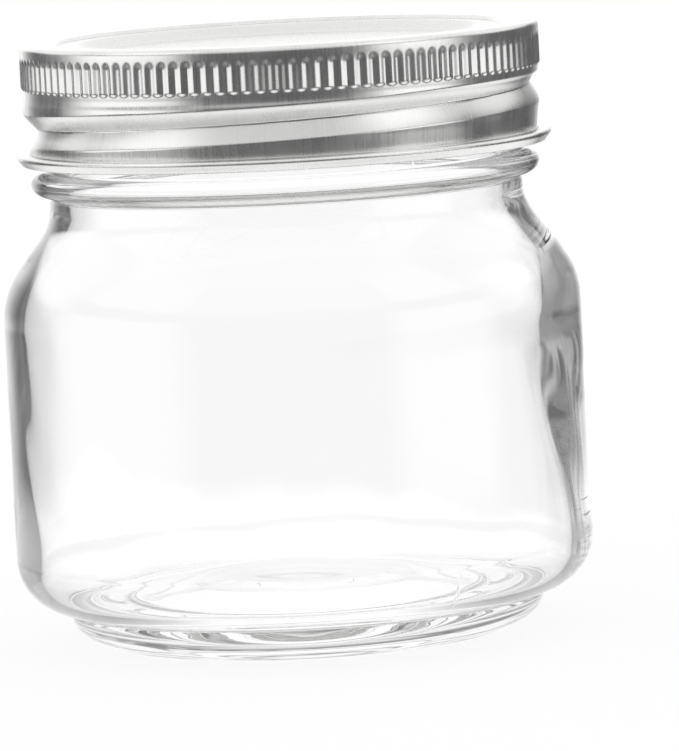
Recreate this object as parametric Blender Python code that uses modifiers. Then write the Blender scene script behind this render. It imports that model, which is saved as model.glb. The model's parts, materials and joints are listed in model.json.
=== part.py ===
"""A small glass storage jar with a two-piece screw closure.

The jar stands on the origin with +Z up and its front towards -Y. It comes
apart into four pieces: the glass jar, the sealing ring that rests on its rim,
the lid disc over the ring, and the screw band that holds the disc down. The
band's rolled thread runs under the thread of the glass, on the same helix, so
the band turns and climbs without touching it. Lengths are in metres.
"""

import math

import bmesh
import bpy
from mathutils import Matrix, Vector

# Body of the glass
JAR_HEIGHT = 0.0775
BODY_RADIUS = 0.0380
BODY_WALL = 0.0030
SHOULDER_HEIGHT = 0.0150
SHOULDER_FILLET = 0.0051
SHOULDER_ROUND = 0.0075
HEEL_ROUND = 0.0070
FOOT_INSET = 0.0067
FOOT_HEIGHT = 0.0050
FOOT_ROUND = 0.0038
FOOT_FILLET = 0.0009
BEARING_WIDTH = 0.0020
PUSH_UP = 0.0020
PUSH_UP_SLOPE = 0.0060
BASE_THICKNESS = 0.0050
FLOOR_ROUND = 0.0060

# Neck of the glass, from the rim down
MOUTH_RADIUS = 0.0284
FINISH_WALL = 0.0030
RIM_ROUND = 0.0009
NECK_RELIEF = 0.0003
NECK_HEIGHT = 0.0016
BEAD_RISE = 0.0020
BEAD_HEIGHT = 0.0031
BEAD_GAP = 0.0008

# Thread of the glass
THREAD_LEAD = 0.0062
THREAD_TURNS = 1.2
THREAD_START = 0.0032
THREAD_RISE = 0.0015
THREAD_ROOT_WIDTH = 0.0024
THREAD_CREST_WIDTH = 0.0010
THREAD_TAPER_TURNS = 0.10
THREAD_ROOT_DEPTH = 0.0008

# Screw band
BAND_SHEET = 0.00025
THREAD_CLEARANCE = 0.0003
FLANGE_WIDTH = 0.0045
CORNER_ROUND = 0.0012
GRIP_HEIGHT = 0.0059
NECK_IN_HEIGHT = 0.0006
BULGE = 0.0005
ROLL_DEPTH = 0.0013
ROLL_WIDTH = 0.0032
ROLL_FULL_TURNS = 0.49
ROLL_TAPER_TURNS = 0.22
ROLL_FADE = 0.0008
SKIRT_HEIGHT = 0.0023
HEM_RADIUS = 0.00095
HEM_CURL_DEGREES = 275.0

# Grip flutes of the band
RIB_COUNT = 124
RIB_RISE = 0.00045
RIB_ROOT_FILL = 0.84
RIB_CREST_FILL = 0.40
RIB_MARGIN = 0.0001

# Lid disc and sealing ring
DISC_SHEET = 0.00025
DISC_CLEARANCE = 0.0003
SEAT_GAP = 0.0002
PANEL_DEPTH = 0.0013
PANEL_INSET = 0.0016
PANEL_SLOPE = 0.0012
PANEL_ROUND = 0.0004
EDGE_DROP = 0.0005
EDGE_WIDTH = 0.0008
RING_THICKNESS = 0.0009
RING_INNER_INSET = 0.0003
RING_ROUND = 0.00025

# Fineness of the meshes
ROUND_STEPS = 48
HELIX_STEPS_PER_TURN = 40
ZONE_ROW_HEIGHT = 0.0008
MERGE_DISTANCE = 0.00001

# Radii worked out from the mouth outwards
FINISH_RADIUS = MOUTH_RADIUS + FINISH_WALL
NECK_RADIUS = FINISH_RADIUS - NECK_RELIEF
CREST_RADIUS = FINISH_RADIUS + THREAD_RISE
BAND_NECK_RADIUS = CREST_RADIUS + THREAD_CLEARANCE + BAND_SHEET
BAND_WALL_RADIUS = BAND_NECK_RADIUS + BULGE
GRIP_RADIUS = BAND_NECK_RADIUS + BAND_SHEET / 2
FLANGE_RADIUS = GRIP_RADIUS - FLANGE_WIDTH
HEM_MIDDLE_RADIUS = CREST_RADIUS + THREAD_CLEARANCE + HEM_RADIUS
DISC_RADIUS = BAND_WALL_RADIUS - BAND_SHEET - ROLL_DEPTH - DISC_CLEARANCE
FOOT_RADIUS = BODY_RADIUS - FOOT_INSET

# Heights worked out from the rim upwards
RING_BOTTOM = JAR_HEIGHT + SEAT_GAP
RING_TOP = RING_BOTTOM + RING_THICKNESS
DISC_TOP = RING_TOP + SEAT_GAP + DISC_SHEET
BAND_TOP = DISC_TOP + SEAT_GAP + BAND_SHEET

# Heights worked out from the band's top downwards
GRIP_BOTTOM = BAND_TOP - GRIP_HEIGHT
ZONE_TOP = GRIP_BOTTOM - NECK_IN_HEIGHT
ZONE_BOTTOM = ZONE_TOP - THREAD_LEAD * ROLL_FULL_TURNS - ROLL_WIDTH
ROLL_MIDDLE = (ZONE_TOP + ZONE_BOTTOM) / 2
HEM_MIDDLE = ZONE_BOTTOM - SKIRT_HEIGHT
BEAD_MIDDLE = HEM_MIDDLE - HEM_RADIUS - BEAD_GAP - BEAD_HEIGHT / 2
SHOULDER_TOP = BEAD_MIDDLE - BEAD_HEIGHT / 2 - NECK_HEIGHT
SHOULDER_BOTTOM = SHOULDER_TOP - SHOULDER_HEIGHT
FLOOR_LEVEL = PUSH_UP + BASE_THICKNESS

# The glass thread lies above the rolled thread, clear of its flank
THREAD_OFFSET = ROLL_WIDTH / 4 + BAND_SHEET + THREAD_CREST_WIDTH / 2 + 2 * THREAD_CLEARANCE


def start_scene():
    """Empty the scene and add a collection for the parts and one for the cutters."""
    for item in list(bpy.data.objects):
        bpy.data.objects.remove(item, do_unlink=True)
    collections = []
    for name in ("mason_jar", "cutters"):
        collection = bpy.data.collections.new(name)
        bpy.context.scene.collection.children.link(collection)
        collections.append(collection)
    return collections


def make_material(name, colour, roughness, metallic=0.0, transmission=0.0):
    """A Principled material in one plain colour."""
    material = bpy.data.materials.new(name)
    material.use_nodes = True
    shader = material.node_tree.nodes["Principled BSDF"]
    shader.inputs["Base Color"].default_value = (*colour, 1.0)
    shader.inputs["Roughness"].default_value = roughness
    shader.inputs["Metallic"].default_value = metallic
    shader.inputs["Transmission Weight"].default_value = transmission
    material.diffuse_color = (*colour, 1.0)
    return material


def arc(middle, radius, start, end, count, stretch=1.0):
    """Points (r, z) of a round stretch between two angles in degrees."""
    points = []
    for index in range(count + 1):
        angle = math.radians(start + (end - start) * index / count)
        r = middle[0] + radius * math.cos(angle)
        z = middle[1] + radius * stretch * math.sin(angle)
        points.append((r, z))
    return points


def shoulder_curve(top, bottom, fillet, rounding, count):
    """Points of an S-shaped shoulder that leaves both ends straight down."""
    handles = [top, (top[0], top[1] - fillet), (bottom[0], bottom[1] + rounding), bottom]
    points = []
    for index in range(count + 1):
        t = index / count
        weights = ((1 - t) ** 3, 3 * t * (1 - t) ** 2, 3 * t * t * (1 - t), t ** 3)
        r = sum(w * handle[0] for w, handle in zip(weights, handles))
        z = sum(w * handle[1] for w, handle in zip(weights, handles))
        points.append((r, z))
    return points


def smooth_step(value):
    """A soft ramp from 0 to 1 while the value goes from 0 to 1."""
    value = min(max(value, 0.0), 1.0)
    return value * value * (3.0 - 2.0 * value)


def profile_object(name, points, collection, closed=False):
    """A profile in the XZ plane, turned round Z by a Screw modifier."""
    mesh = bpy.data.meshes.new(name)
    edges = [(i, i + 1) for i in range(len(points) - 1)]
    if closed:
        edges.append((len(points) - 1, 0))
    mesh.from_pydata([(r, 0.0, z) for r, z in points], edges, [])
    item = bpy.data.objects.new(name, mesh)
    collection.objects.link(item)
    screw = item.modifiers.new("Turn", "SCREW")
    screw.steps = ROUND_STEPS
    screw.render_steps = ROUND_STEPS
    screw.use_merge_vertices = True
    screw.merge_threshold = MERGE_DISTANCE
    screw.use_smooth_shade = True
    return item


def add_solidify(item, thickness):
    """Give a turned surface its sheet thickness, on its inner side."""
    shell = item.modifiers.new("Sheet", "SOLIDIFY")
    shell.thickness = thickness
    shell.offset = -1.0
    shell.use_even_offset = True


def add_union(item, tool):
    """Join a tool body to an object and leave the tool as a wire guide."""
    union = item.modifiers.new("Join " + tool.name, "BOOLEAN")
    union.operation = "UNION"
    union.solver = "EXACT"
    union.object = tool
    tool.hide_render = True
    tool.display_type = "WIRE"


def from_bmesh(name, shape, collection):
    """Turn a bmesh into an object."""
    mesh = bpy.data.meshes.new(name)
    shape.to_mesh(mesh)
    shape.free()
    item = bpy.data.objects.new(name, mesh)
    collection.objects.link(item)
    return item


def roll_height(turn):
    """Height of the middle of the rolled thread, by turns from the front."""
    return ROLL_MIDDLE + THREAD_LEAD * turn


def glass_profile():
    """Section of the glass: inner floor, up the inside, over the rim, down to the base."""
    inner_radius = BODY_RADIUS - BODY_WALL
    corner = (inner_radius - FLOOR_ROUND, FLOOR_LEVEL + FLOOR_ROUND)
    # The inside of the shoulder sits lower, so that the wall keeps its thickness on the slope
    slope = math.atan2(BODY_RADIUS - NECK_RADIUS, SHOULDER_HEIGHT - SHOULDER_FILLET)
    drop = BODY_WALL * math.tan(slope / 2)
    inner_shoulder = shoulder_curve(
        (MOUTH_RADIUS, SHOULDER_TOP - drop), (inner_radius, SHOULDER_BOTTOM - drop),
        SHOULDER_FILLET, SHOULDER_ROUND, 5)
    points = [(0.0, FLOOR_LEVEL)]
    points += arc(corner, FLOOR_ROUND, -90, 0, 4)
    points += reversed(inner_shoulder)
    rim = JAR_HEIGHT - RIM_ROUND
    points += arc((MOUTH_RADIUS + RIM_ROUND, rim), RIM_ROUND, 180, 90, 2)
    points += arc((FINISH_RADIUS - RIM_ROUND, rim), RIM_ROUND, 90, 0, 2)
    points += arc((FINISH_RADIUS, BEAD_MIDDLE), BEAD_RISE, 90, -90, 6,
                  stretch=BEAD_HEIGHT / 2 / BEAD_RISE)
    points += shoulder_curve(
        (NECK_RADIUS, SHOULDER_TOP), (BODY_RADIUS, SHOULDER_BOTTOM),
        SHOULDER_FILLET, SHOULDER_ROUND, 7)
    points += heel_and_foot()
    return points


def heel_and_foot():
    """Lower end of the glass: heel, foot ring, bearing face and hollow base."""
    heel = (BODY_RADIUS - HEEL_ROUND, FOOT_HEIGHT + HEEL_ROUND)
    reach = (FOOT_RADIUS + FOOT_FILLET - heel[0]) / HEEL_ROUND
    heel_end = -math.degrees(math.acos(min(max(reach, 0.0), 1.0)))
    foot = (FOOT_RADIUS - FOOT_ROUND, FOOT_ROUND)
    bearing_inner = foot[0] - BEARING_WIDTH
    points = arc(heel, HEEL_ROUND, 0, heel_end, 5)
    points.append((FOOT_RADIUS, FOOT_HEIGHT - FOOT_FILLET))
    points += arc(foot, FOOT_ROUND, 0, -90, 4)
    points.append((bearing_inner, 0.0))
    points.append((bearing_inner - PUSH_UP_SLOPE / 3, PUSH_UP / 2))
    points.append((bearing_inner - PUSH_UP_SLOPE, PUSH_UP))
    points.append((0.0, PUSH_UP))
    return points


def thread_ridge(collection):
    """Helical ridge of the glass thread, sinking into the wall at both ends."""
    top_turn = (JAR_HEIGHT - THREAD_START - THREAD_OFFSET - ROLL_MIDDLE) / THREAD_LEAD
    steps = math.ceil(THREAD_TURNS * HELIX_STEPS_PER_TURN)
    root = FINISH_RADIUS - THREAD_ROOT_DEPTH
    shape = bmesh.new()
    loops = []
    for step in range(steps + 1):
        along = THREAD_TURNS * step / steps
        from_end = min(along, THREAD_TURNS - along)
        height = smooth_step(from_end / THREAD_TAPER_TURNS)
        crest = FINISH_RADIUS + THREAD_RISE * height - THREAD_ROOT_DEPTH / 2 * (1 - height)
        turn = top_turn - THREAD_TURNS + along
        middle = roll_height(turn) + THREAD_OFFSET
        turned = Matrix.Rotation((turn - 0.25) * math.tau, 4, "Z")
        section = (
            (root, middle + THREAD_ROOT_WIDTH / 2), (crest, middle + THREAD_CREST_WIDTH / 2),
            (crest, middle - THREAD_CREST_WIDTH / 2), (root, middle - THREAD_ROOT_WIDTH / 2))
        loops.append([shape.verts.new(turned @ Vector((r, 0.0, z))) for r, z in section])
    for one, other in zip(loops, loops[1:]):
        for side in range(4):
            after = (side + 1) % 4
            shape.faces.new((one[side], one[after], other[after], other[side]))
    shape.faces.new(loops[0])
    shape.faces.new(loops[-1])
    bmesh.ops.recalc_face_normals(shape, faces=shape.faces[:])
    return from_bmesh("thread_ridge", shape, collection)


def make_glass(parts, cutters):
    """The jar itself, one turned piece of clear glass with its thread."""
    jar = profile_object("glass_jar", glass_profile(), parts)
    add_union(jar, thread_ridge(cutters))
    jar.data.materials.append(make_material("clear_glass", (0.92, 0.95, 0.94), 0.03, transmission=1.0))
    return jar


def make_ring(parts):
    """The sealing ring, a soft flat ring bedded between the rim and the disc."""
    inner = MOUTH_RADIUS + RING_INNER_INSET
    outer = FINISH_RADIUS - RING_INNER_INSET
    points = arc((outer - RING_ROUND, RING_TOP - RING_ROUND), RING_ROUND, 90, 0, 1)
    points += arc((outer - RING_ROUND, RING_BOTTOM + RING_ROUND), RING_ROUND, 0, -90, 1)
    points += [(inner, RING_BOTTOM), (inner, RING_TOP)]
    ring = profile_object("sealing_ring", points, parts, closed=True)
    ring.data.materials.append(make_material("sealing_compound", (0.62, 0.60, 0.55), 0.55))
    return ring


def make_disc(parts):
    """The lid disc, pressed from sheet: sunken panel, raised seat and dropped edge."""
    step_top = MOUTH_RADIUS - PANEL_INSET
    step_bottom = step_top - PANEL_SLOPE
    panel = DISC_TOP - PANEL_DEPTH
    points = [(0.0, panel), (step_bottom - PANEL_ROUND, panel)]
    points += [(step_bottom, panel + PANEL_ROUND / 2), (step_top, DISC_TOP - PANEL_ROUND / 2)]
    points += [(step_top + PANEL_ROUND, DISC_TOP), (DISC_RADIUS - EDGE_WIDTH, DISC_TOP)]
    points.append((DISC_RADIUS, DISC_TOP - EDGE_DROP))
    disc = profile_object("lid_disc", points, parts)
    add_solidify(disc, DISC_SHEET)
    disc.data.materials.append(make_material("disc_tinplate", (0.80, 0.80, 0.79), 0.30, metallic=1.0))
    return disc


def band_profile():
    """Outer skin of the band: flange, corner, grip wall, thread zone, skirt and rolled hem."""
    corner = (GRIP_RADIUS - CORNER_ROUND, BAND_TOP - CORNER_ROUND)
    hem = (HEM_MIDDLE_RADIUS, HEM_MIDDLE)
    points = [(FLANGE_RADIUS, BAND_TOP)]
    points += arc(corner, CORNER_ROUND, 90, 0, 2)
    points.append((GRIP_RADIUS, GRIP_BOTTOM))
    rows = math.ceil((ZONE_TOP - ZONE_BOTTOM) / ZONE_ROW_HEIGHT)
    for row in range(rows + 1):
        along = row / rows
        barrel = 1.0 - (2.0 * along - 1.0) ** 4
        points.append((BAND_NECK_RADIUS + BULGE * barrel, ZONE_TOP + (ZONE_BOTTOM - ZONE_TOP) * along))
    points += arc(hem, HEM_RADIUS - BAND_SHEET, 180, 180 + HEM_CURL_DEGREES, 7)
    return points


def roll_depth(turn, height):
    """How far the rolled thread presses the band inwards at one place."""
    past_full = (abs(turn) - ROLL_FULL_TURNS / 2) / ROLL_TAPER_TURNS
    across = (height - roll_height(turn)) / ROLL_WIDTH
    if abs(across) >= 0.5:
        return 0.0
    ends = 1.0 - smooth_step(past_full)
    edge = min(ZONE_TOP - height, height - ZONE_BOTTOM)
    groove = 0.5 + 0.5 * math.cos(across * math.tau)
    return ROLL_DEPTH * groove * ends * smooth_step(edge / ROLL_FADE)


def grip_ribs(collection):
    """The ribs between the grip's flutes: bars with a narrow crest, sunk in the wall, sloped at both ends."""
    pitch = GRIP_RADIUS * math.tau / RIB_COUNT
    top = BAND_TOP - CORNER_ROUND - RIB_MARGIN
    bottom = GRIP_BOTTOM + RIB_MARGIN
    shape = bmesh.new()
    for index in range(RIB_COUNT):
        bar = bmesh.ops.create_cube(shape, size=1.0)
        turned = Matrix.Rotation((index + 0.5) / RIB_COUNT * math.tau, 4, "Z")
        for vert in bar["verts"]:
            on_crest = vert.co.x > 0
            outward = RIB_RISE if on_crest else -BAND_SHEET / 2
            width = pitch * (RIB_CREST_FILL if on_crest else RIB_ROOT_FILL)
            end = top - max(outward, 0.0) if vert.co.z > 0 else bottom + max(outward, 0.0)
            vert.co = turned @ Vector((GRIP_RADIUS + outward, vert.co.y * width, end))
    return from_bmesh("grip_ribs", shape, collection)


def make_band(parts, cutters):
    """The screw band, rolled from sheet: flange, fluted grip, rolled thread and hem."""
    turned = profile_object("band_turned", band_profile(), cutters)
    graph = bpy.context.evaluated_depsgraph_get()
    mesh = bpy.data.meshes.new_from_object(turned.evaluated_get(graph))
    mesh.name = "screw_band"
    bpy.data.objects.remove(turned, do_unlink=True)
    for vert in mesh.vertices:
        place = vert.co.copy()
        turn = (math.atan2(place.y, place.x) / math.tau + 0.75) % 1.0 - 0.5
        if ZONE_BOTTOM < place.z < ZONE_TOP:
            radius = math.hypot(place.x, place.y)
            shrink = 1.0 - roll_depth(turn, place.z) / radius
            vert.co = (place.x * shrink, place.y * shrink, place.z)
    band = bpy.data.objects.new("screw_band", mesh)
    parts.objects.link(band)
    add_solidify(band, BAND_SHEET)
    add_union(band, grip_ribs(cutters))
    mesh.materials.append(make_material("band_tinplate", (0.66, 0.66, 0.66), 0.27, metallic=1.0))
    return band


def make_axis(name, height, collection, parent=None):
    """An empty on the jar's axis that carries the pieces of one moving body."""
    axis = bpy.data.objects.new(name, None)
    axis.empty_display_size = FINISH_WALL
    axis.location = (0.0, 0.0, height)
    collection.objects.link(axis)
    hang(axis, parent)
    return axis


def hang(item, parent):
    """Parent one object to another and keep its place in the world."""
    bpy.context.view_layer.update()
    if parent is not None:
        item.parent = parent
        item.matrix_parent_inverse = parent.matrix_world.inverted()


def main():
    """Build the four pieces and hang the closure on its axes."""
    parts, cutters = start_scene()
    make_glass(parts, cutters)
    lid_axis = make_axis("lid_axis", JAR_HEIGHT, parts)
    band_axis = make_axis("band_axis", BAND_TOP, parts, lid_axis)
    for piece in (make_ring(parts), make_disc(parts)):
        hang(piece, lid_axis)
    hang(make_band(parts, cutters), band_axis)


main()
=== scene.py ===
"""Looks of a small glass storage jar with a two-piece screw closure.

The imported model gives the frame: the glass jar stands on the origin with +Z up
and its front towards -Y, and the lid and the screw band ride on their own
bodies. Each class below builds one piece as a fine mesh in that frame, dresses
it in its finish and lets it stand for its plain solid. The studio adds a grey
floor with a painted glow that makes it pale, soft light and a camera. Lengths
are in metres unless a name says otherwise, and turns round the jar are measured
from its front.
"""

from __future__ import annotations

import json
import logging
import math
from dataclasses import dataclass, field
from enum import Enum
from typing import Any, Mapping, Sequence

import bpy
import numpy as np
from mathutils import Matrix, Vector

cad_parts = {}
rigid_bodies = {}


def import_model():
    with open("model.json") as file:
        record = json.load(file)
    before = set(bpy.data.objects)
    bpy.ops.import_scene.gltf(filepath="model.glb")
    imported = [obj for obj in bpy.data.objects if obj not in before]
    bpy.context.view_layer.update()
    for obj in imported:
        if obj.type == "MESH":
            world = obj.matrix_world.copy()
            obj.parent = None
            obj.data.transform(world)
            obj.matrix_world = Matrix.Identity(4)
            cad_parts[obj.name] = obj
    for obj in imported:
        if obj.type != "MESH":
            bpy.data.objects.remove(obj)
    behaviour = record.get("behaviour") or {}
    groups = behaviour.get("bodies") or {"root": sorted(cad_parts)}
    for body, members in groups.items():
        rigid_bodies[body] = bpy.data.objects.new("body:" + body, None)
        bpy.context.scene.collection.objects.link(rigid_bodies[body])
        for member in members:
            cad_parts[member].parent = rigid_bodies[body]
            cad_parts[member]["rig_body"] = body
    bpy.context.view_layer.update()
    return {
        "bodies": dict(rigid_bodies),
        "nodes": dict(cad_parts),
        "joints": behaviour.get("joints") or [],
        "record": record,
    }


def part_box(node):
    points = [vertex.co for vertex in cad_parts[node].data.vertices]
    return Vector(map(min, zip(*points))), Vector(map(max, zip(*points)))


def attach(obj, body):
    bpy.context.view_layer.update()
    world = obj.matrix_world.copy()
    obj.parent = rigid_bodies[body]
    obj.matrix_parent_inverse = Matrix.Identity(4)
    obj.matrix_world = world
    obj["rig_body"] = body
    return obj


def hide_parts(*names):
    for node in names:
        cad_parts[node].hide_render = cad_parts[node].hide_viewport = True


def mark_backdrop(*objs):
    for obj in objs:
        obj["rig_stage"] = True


LOG = logging.getLogger("storage_jar")
MM = 0.001
SAME_PLACE = 1e-6
ON_AXIS = 1e-9
ALL_SMOOTH = 180.0
SUM = "ShaderNodeMath"
RAMP = "ShaderNodeMapRange"
VECTOR = "ShaderNodeVectorMath"
JOIN = "ShaderNodeCombineXYZ"
SPLIT = "ShaderNodeSeparateXYZ"
NOISE = "ShaderNodeTexNoise"
SOFT = {"interpolation_type": "SMOOTHSTEP"}

Pair = tuple[float, float]


class Body(Enum):
    """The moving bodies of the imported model."""

    JAR = "jar"
    LID = "lid"
    BAND = "band"


class Skin(Enum):
    """Which face of a hollow piece a ring of its points lies on."""

    OUTSIDE = 1.0
    INSIDE = 0.0


def linear(colour: str) -> tuple[float, float, float, float]:
    """Turn an sRGB hex colour into linear light.

    Args:
        colour: six hex digits after a hash sign.

    Returns:
        Red, green and blue in linear light, and an alpha of one.
    """
    values = []
    for start in (1, 3, 5):
        share = int(colour[start:start + 2], 16) / 255.0
        values.append(share / 12.92 if share <= 0.04045 else ((share + 0.055) / 1.055) ** 2.4)
    return values[0], values[1], values[2], 1.0


def add(tree: bpy.types.NodeTree, kind: str,
        inputs: Mapping[str | int, Any] | Sequence[Any] = (), **settings: Any) -> bpy.types.Node:
    """Add a node with its settings, its input values and its links.

    Args:
        tree: the node tree that gets the node.
        kind: the node's type name.
        inputs: values by input name or number, or in the order of the inputs. A
            socket is linked from, a node from its first output, the rest is set.
        settings: properties of the node itself.

    Returns:
        The new node.
    """
    node = tree.nodes.new(kind)
    for name, value in settings.items():
        setattr(node, name, value)
    for key, value in inputs.items() if isinstance(inputs, Mapping) else enumerate(inputs):
        socket = node.inputs[key]
        if isinstance(value, bpy.types.Node):
            tree.links.new(value.outputs[0], socket)
        elif isinstance(value, bpy.types.NodeSocket):
            tree.links.new(value, socket)
        else:
            socket.default_value = value
    return node


def blank_material(
        name: str) -> tuple[bpy.types.Material, bpy.types.NodeTree, bpy.types.NodeSocket]:
    """Open an empty material.

    Args:
        name: name of the real material.

    Returns:
        The material, its node tree and the object coordinates in it.
    """
    material = bpy.data.materials.new(name)
    material.use_nodes = True
    tree = material.node_tree
    tree.nodes.clear()
    return material, tree, add(tree, "ShaderNodeTexCoord").outputs["Object"]


def smooth_step(value: np.ndarray) -> np.ndarray:
    """A soft ramp from 0 to 1 while the value goes from 0 to 1."""
    held = np.clip(value, 0.0, 1.0)
    return held * held * (3.0 - 2.0 * held)


@dataclass
class Section:
    """A section's points by radius and height, drawn one stretch after another."""

    points: list[Pair] = field(default_factory=list)

    def reach(self, *points: Pair) -> None:
        """Go on to more points, leaving out those that lie on the one before them."""
        for point in points:
            if not self.points or math.dist(point, self.points[-1]) > SAME_PLACE:
                self.points.append(point)

    def line(self, end: Pair, count: int) -> None:
        """Draw a straight stretch from the last point in a number of steps."""
        start = self.points[-1]
        for index in range(1, count + 1):
            self.reach((start[0] + (end[0] - start[0]) * index / count,
                        start[1] + (end[1] - start[1]) * index / count))

    def curve(self, first: Pair, second: Pair, end: Pair, count: int) -> None:
        """Draw a cubic curve from the last point.

        Args:
            first: handle of the last point.
            second: handle of the end.
            end: where the curve ends.
            count: number of steps.
        """
        handles = (self.points[-1], first, second, end)
        for index in range(1, count + 1):
            t = index / count
            weights = ((1 - t) ** 3, 3 * t * (1 - t) ** 2, 3 * t * t * (1 - t), t ** 3)
            self.reach((sum(w * handle[0] for w, handle in zip(weights, handles)),
                        sum(w * handle[1] for w, handle in zip(weights, handles))))

    def arc(self, middle: Pair, radius: float, start: float, end: float, count: int,
            stretch: float = 1.0) -> None:
        """Draw a round stretch, after a straight step if it starts off the last point.

        Args:
            middle: radius and height of the arc's centre.
            radius: radius of the arc.
            start: first angle in degrees, 0 outwards and 90 upwards.
            end: last angle in degrees.
            count: number of steps.
            stretch: height of the arc over its width.
        """
        for index in range(count + 1):
            angle = math.radians(start + (end - start) * index / count)
            self.reach((middle[0] + radius * math.cos(angle),
                        middle[1] + radius * stretch * math.sin(angle)))


def strip(low: int, lows: int, high: int, highs: int) -> list[tuple[int, ...]]:
    """Faces between two rings of points.

    Rings with as many points each get four-sided faces. Otherwise one count is a
    multiple of the other, or a ring is a single point on the axis.

    Args:
        low: number of the lower ring's first point.
        lows: how many points the lower ring has.
        high: number of the upper ring's first point.
        highs: how many points the upper ring has.

    Returns:
        The faces, which point outwards where the rings climb the outer side.
    """
    wide, few = max(lows, highs), min(lows, highs)
    fine, coarse = np.arange(wide), np.arange(few)
    after, next_coarse = (fine + 1) % wide, (coarse + 1) % few
    near = np.floor((fine + 0.5) * few / wide + 0.5).astype(int) % few
    middle = ((coarse + 0.5) * wide / few).astype(int)
    if lows == highs:
        sides = [(low + fine, low + after, high + after, high + fine)]
    elif lows > highs:
        sides = [(low + fine, low + after, high + near),
                 (low + middle, high + next_coarse, high + coarse)]
    else:
        sides = [(low + near, high + after, high + fine),
                 (low + coarse, low + next_coarse, high + middle)]
    faces: list[tuple[int, ...]] = []
    for side in sides if few > 1 else sides[:1]:
        faces += zip(*(corner.tolist() for corner in side))
    return faces


def ring_mesh(name: str, rings: Sequence[np.ndarray], closed: bool = False,
              skins: Sequence[float] = ()) -> bpy.types.Mesh:
    """Skin a row of rings round the jar's axis.

    Args:
        name: name of the mesh.
        rings: the points of each ring, or one point for a pole.
        closed: whether the last ring is joined to the first.
        skins: a value for each ring, kept on its points as the attribute "skin".

    Returns:
        The mesh, shaded smooth.
    """
    counts = [len(ring) for ring in rings]
    starts = np.concatenate(([0], np.cumsum(counts))).tolist()
    faces: list[tuple[int, ...]] = []
    for index in range(len(rings) if closed else len(rings) - 1):
        other = (index + 1) % len(rings)
        faces += strip(starts[index], counts[index], starts[other], counts[other])
    mesh = bpy.data.meshes.new(name)
    mesh.from_pydata(np.concatenate(rings).tolist(), [], faces)
    if skins:
        kept = mesh.attributes.new("skin", "FLOAT", "POINT")
        kept.data.foreach_set("value", np.repeat(skins, counts).astype(np.float32))
    mesh.shade_smooth()
    return mesh


def spread(rows: Sequence[Pair], columns: int) -> tuple[np.ndarray, np.ndarray]:
    """Repeat a plain section over all columns.

    Args:
        rows: the section's points.
        columns: number of columns round the axis.

    Returns:
        Radius and height by row and column.
    """
    section = np.array(rows, dtype=float)
    return np.repeat(section[:, :1], columns, axis=1), np.repeat(section[:, 1:], columns, axis=1)


def turn_rings(radius: np.ndarray, height: np.ndarray, angles: np.ndarray) -> list[np.ndarray]:
    """Turn radii and heights into rings of points.

    Args:
        radius: radius by row and column.
        height: height by row and column.
        angles: angle of each column, from +X and anticlockwise from above.

    Returns:
        One ring for each row; a row of no radius becomes one point on the axis.
    """
    rings = []
    for r, z in zip(radius, height):
        if np.all(r < ON_AXIS):
            rings.append(np.array([[0.0, 0.0, float(z.mean())]]))
        else:
            rings.append(np.column_stack((r * np.cos(angles), r * np.sin(angles), z)))
    return rings


def even_angles(columns: int) -> np.ndarray:
    """Angles of evenly spaced columns, the first one at the front."""
    return np.arange(columns) * math.tau / columns - math.pi / 2


def place_mesh(name: str, mesh: bpy.types.Mesh) -> bpy.types.Object:
    """Put a mesh in the scene as an object at the origin."""
    piece = bpy.data.objects.new(name, mesh)
    bpy.context.scene.collection.objects.link(piece)
    return piece


def settle(piece: bpy.types.Object, sharp_degrees: float = ALL_SMOOTH) -> None:
    """Turn a piece and its modifiers into a plain mesh.

    Args:
        piece: the object to settle.
        sharp_degrees: edges that bend more than this stay sharp.
    """
    graph = bpy.context.evaluated_depsgraph_get()
    mesh = bpy.data.meshes.new_from_object(
        piece.evaluated_get(graph), preserve_all_data_layers=True, depsgraph=graph)
    old = piece.data
    piece.modifiers.clear()
    piece.data = mesh
    bpy.data.meshes.remove(old)
    mesh.name = piece.name
    mesh.shade_smooth()
    if sharp_degrees < ALL_SMOOTH:
        mesh.set_sharp_from_angle(angle=math.radians(sharp_degrees))


def press(piece: bpy.types.Object, tree: bpy.types.NodeTree, material: bpy.types.Material,
          sizes: Mapping[str, float]) -> None:
    """Put a geometry tree on a piece with its sizes.

    Args:
        piece: the object whose skin is pressed.
        tree: the tree that moves its points.
        material: the finish that the tree sets.
        sizes: values for the tree's named inputs.
    """
    modifier = piece.modifiers.new(tree.name, "NODES")
    modifier.node_group = tree
    named = {item.name: item.identifier for item in tree.interface.items_tree
             if item.item_type == "SOCKET" and item.in_out == "INPUT"}
    for name, value in {**sizes, "Material": material}.items():
        modifier[named[name]] = value


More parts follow.
